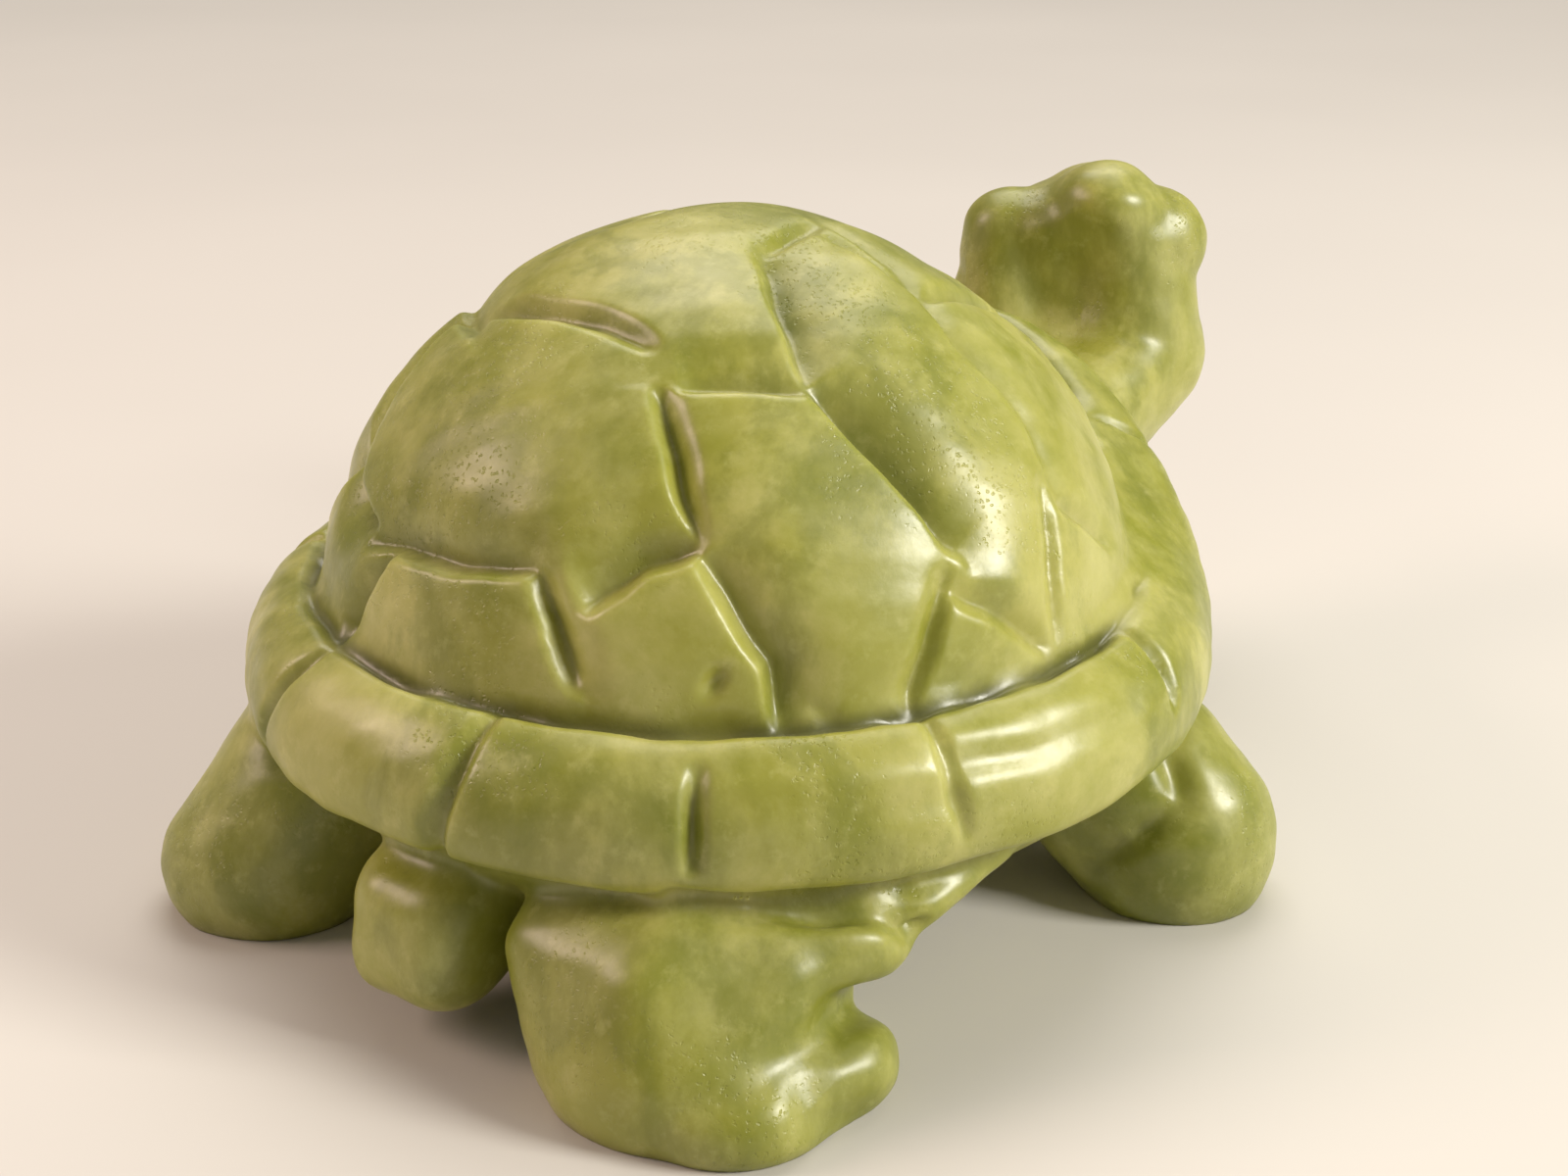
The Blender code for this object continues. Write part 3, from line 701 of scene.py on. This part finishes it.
def addColour(tree, shader, place):
    where = swirledPlace(tree, place)
    along = addNode(tree, "ShaderNodeMapping", (-1250, -200))
    along.inputs["Rotation"].default_value = stone["streakTurn"]
    along.inputs["Scale"].default_value = stone["streakStretch"]
    tree.links.new(where, along.inputs["Vector"])
    colour = stone["olive"]
    layers = [    # the noise, what it reads, its stops and its colour, from the ground up
        ("patches", where, "patchStops", "body"),
        # painted shade: greener olive lower down, where the faces are in shade
        ("lower", where, None, "olive"),
        ("clouds", where, "cloudStops", "cloud"),
        ("streaks", along.outputs[0], "streakStops", "streak"),
        ("veins", along.outputs[0], "veinStops", "streak"),
        ("flecks", place, "fleckStops", "cloud"),
    ]
    for number, (name, vector, stops, tint) in enumerate(layers):
        level = 600 - number * 220
        if stops is None:
            amount = lowShadeShare(tree, vector)
        else:
            noise = addNoise(tree, (-1000, level), vector, stone[name])
            amount = addShare(tree, (-750, level), noise.outputs["Fac"], stone[stops])
        colour = addMix(tree, (number * 160 - 400, 500), amount, colour, stone[tint])
    # painted shade in the ring groove, together with its dust, and in the deeper cuts
    groove = addNode(tree, "ShaderNodeAttribute", (500, 0), attribute_name="grooveDustAndShade")
    colour = addMix(tree, (700, 300), groove.outputs["Fac"], colour, stone["dustAndShadeColour"])
    tree.links.new(colour, shader.inputs["Base Color"])


def addPits(tree, place):
    ragged = addNoise(tree, (-1300, -1000), place, stone["ragged"])
    pull = addNode(tree, "ShaderNodeVectorMath", (-1150, -900), operation="MULTIPLY_ADD")
    tree.links.new(ragged.outputs["Color"], pull.inputs[0])
    pull.inputs[1].default_value = [stone["raggedReach"]] * 3
    tree.links.new(place, pull.inputs[2])
    field = addNode(tree, "ShaderNodeTexVoronoi", (-1000, -900))
    field.inputs["Scale"].default_value = stone["pitSize"]
    tree.links.new(pull.outputs[0], field.inputs["Vector"])
    worn = addNoise(tree, (-1000, -1150), place, stone["worn"])
    dots = addShare(tree, (-750, -900), field.outputs["Distance"], stone["pitStops"])
    patchy = addShare(tree, (-750, -1150), worn.outputs["Fac"], stone["wornStops"])
    both = addNode(tree, "ShaderNodeMath", (-400, -1000), operation="MULTIPLY")
    tree.links.new(dots, both.inputs[0])
    tree.links.new(patchy, both.inputs[1])
    return both.outputs[0]


def makeStone():
    material = bpy.data.materials.new("polishedSerpentine")
    material.use_nodes = True
    tree = material.node_tree
    shader = tree.nodes["Principled BSDF"]
    place = addNode(tree, "ShaderNodeTexCoord", (-2000, 0)).outputs["Object"]
    addColour(tree, shader, place)
    grain = addNoise(tree, (-1000, -1400), place, stone["grain"]).outputs["Fac"]
    tree.links.new(addShare(tree, (-400, -1400), grain, stone["glossStops"]), shader.inputs["Roughness"])
    ripple = addBump(tree, (-100, -1200), grain, stone["rippleDepth"], stone["rippleStrength"])
    dots = addPits(tree, place)
    pits = addBump(tree, (100, -1000), dots, stone["pitDepth"], stone["pitStrength"], invert=True)
    tree.links.new(ripple.outputs["Normal"], pits.inputs["Normal"])
    for name in ("Normal", "Coat Normal"):
        tree.links.new(pits.outputs["Normal"], shader.inputs[name])
    shader.inputs["Subsurface Weight"].default_value = stone["translucency"]
    shader.inputs["Subsurface Radius"].default_value = stone["depthOfLight"]
    shader.inputs["Subsurface Scale"].default_value = 1.0
    shader.inputs["IOR"].default_value = stone["bendOfLight"]
    shader.inputs["Coat Weight"].default_value = stone["wax"]
    shader.inputs["Coat Roughness"].default_value = stone["waxRoughness"]
    return material


pieces = makeShell() + [makeLimb(name, balls) for name, balls in limbs.items()]
print("masses made:", len(pieces))
turtle = joinBlock(pieces)
print("block joined:", len(turtle.data.polygons), "faces")
carve(turtle)
finishBlock(turtle)
print("block finished:", len(turtle.data.polygons), "triangles")
turtle.data.materials.clear()
turtle.data.materials.append(makeStone())
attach(turtle, "root")
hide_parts("turtle_carving")
print("stone finished")

# A pale table top that runs out of the picture, and soft light from the right and the left.
studio = {
    "floorSize": 6.0,
    "floorColour": (0.64, 0.615, 0.58),
    "floorShade": 0.95,       # how much darker the card is in places
    "floorNoise": (4.0, 3.0, 0.5),
    "floorRoughness": 0.75,
    "air": (1.0, 0.90, 0.80),
    "airStrength": 0.23,
    "lamps": {                # place, size in metres, watts, colour
        "windowLight": ((0.19, -0.70, 0.46), 0.24, 7.0, (1.0, 0.97, 0.88)),
        "leftLight": ((-0.45, 0.53, 0.47), 0.34, 3.1, (1.0, 0.75, 0.66)),
        "topLight": ((0.80, 0.50, 1.80), 1.6, 30.0, (1.0, 0.94, 0.86)),
    },
    "lookAt": (0.0, 0.0, 0.035),
}


def makeStudio():
    onlySelect()
    bpy.ops.mesh.primitive_plane_add(size=studio["floorSize"], location=(0, 0, 0))
    floor = bpy.context.object
    floor.name = "tableTop"
    paper = bpy.data.materials.new("paleCard")
    paper.use_nodes = True
    tree = paper.node_tree
    shader = tree.nodes["Principled BSDF"]
    shader.inputs["Roughness"].default_value = studio["floorRoughness"]
    place = addNode(tree, "ShaderNodeTexCoord", (-900, 0)).outputs["Object"]
    shade = addNoise(tree, (-700, 0), place, studio["floorNoise"])
    darker = tuple(c * studio["floorShade"] for c in studio["floorColour"])
    tint = addRamp(tree, (-400, 0), shade.outputs["Fac"], [(0.3, darker), (0.7, studio["floorColour"])])
    tree.links.new(tint, shader.inputs["Base Color"])
    floor.data.materials.append(paper)
    world = bpy.data.worlds.new("softRoom")
    world.use_nodes = True
    air = world.node_tree.nodes["Background"]
    air.inputs["Color"].default_value = (*studio["air"], 1)
    air.inputs["Strength"].default_value = studio["airStrength"]
    bpy.context.scene.world = world
    for name, (spot, size, watts, colour) in studio["lamps"].items():
        bpy.ops.object.light_add(type="AREA", location=spot)
        lamp = bpy.context.object
        lamp.name = name
        lamp.data.energy = watts
        lamp.data.size = size
        lamp.data.color = colour
        aim = Vector(studio["lookAt"]) - Vector(spot)
        lamp.rotation_euler = aim.to_track_quat("-Z", "Y").to_euler()


camera = {
    "place": (-0.19370, -0.13507, 0.11922),
    "heading": 36.49,        # degrees to the left of +X
    "down": 22.04,           # degrees below the horizon
    "lens": 49.5,
    "sensor": 36.0,
    "clip": (0.01, 20.0),
}


def makeCamera():
    bpy.ops.object.camera_add(location=camera["place"])
    eye = bpy.context.object
    eye.name = "camera"
    tilt, heading = math.radians(90 - camera["down"]), math.radians(camera["heading"] - 90)
    eye.rotation_euler = (tilt, 0, heading)
    eye.data.lens = camera["lens"]
    eye.data.sensor_width = camera["sensor"]
    eye.data.clip_start, eye.data.clip_end = camera["clip"]
    bpy.context.scene.camera = eye


makeStudio()
makeCamera()
bpy.context.scene.view_settings.view_transform = "Standard"
print("studio and camera set")
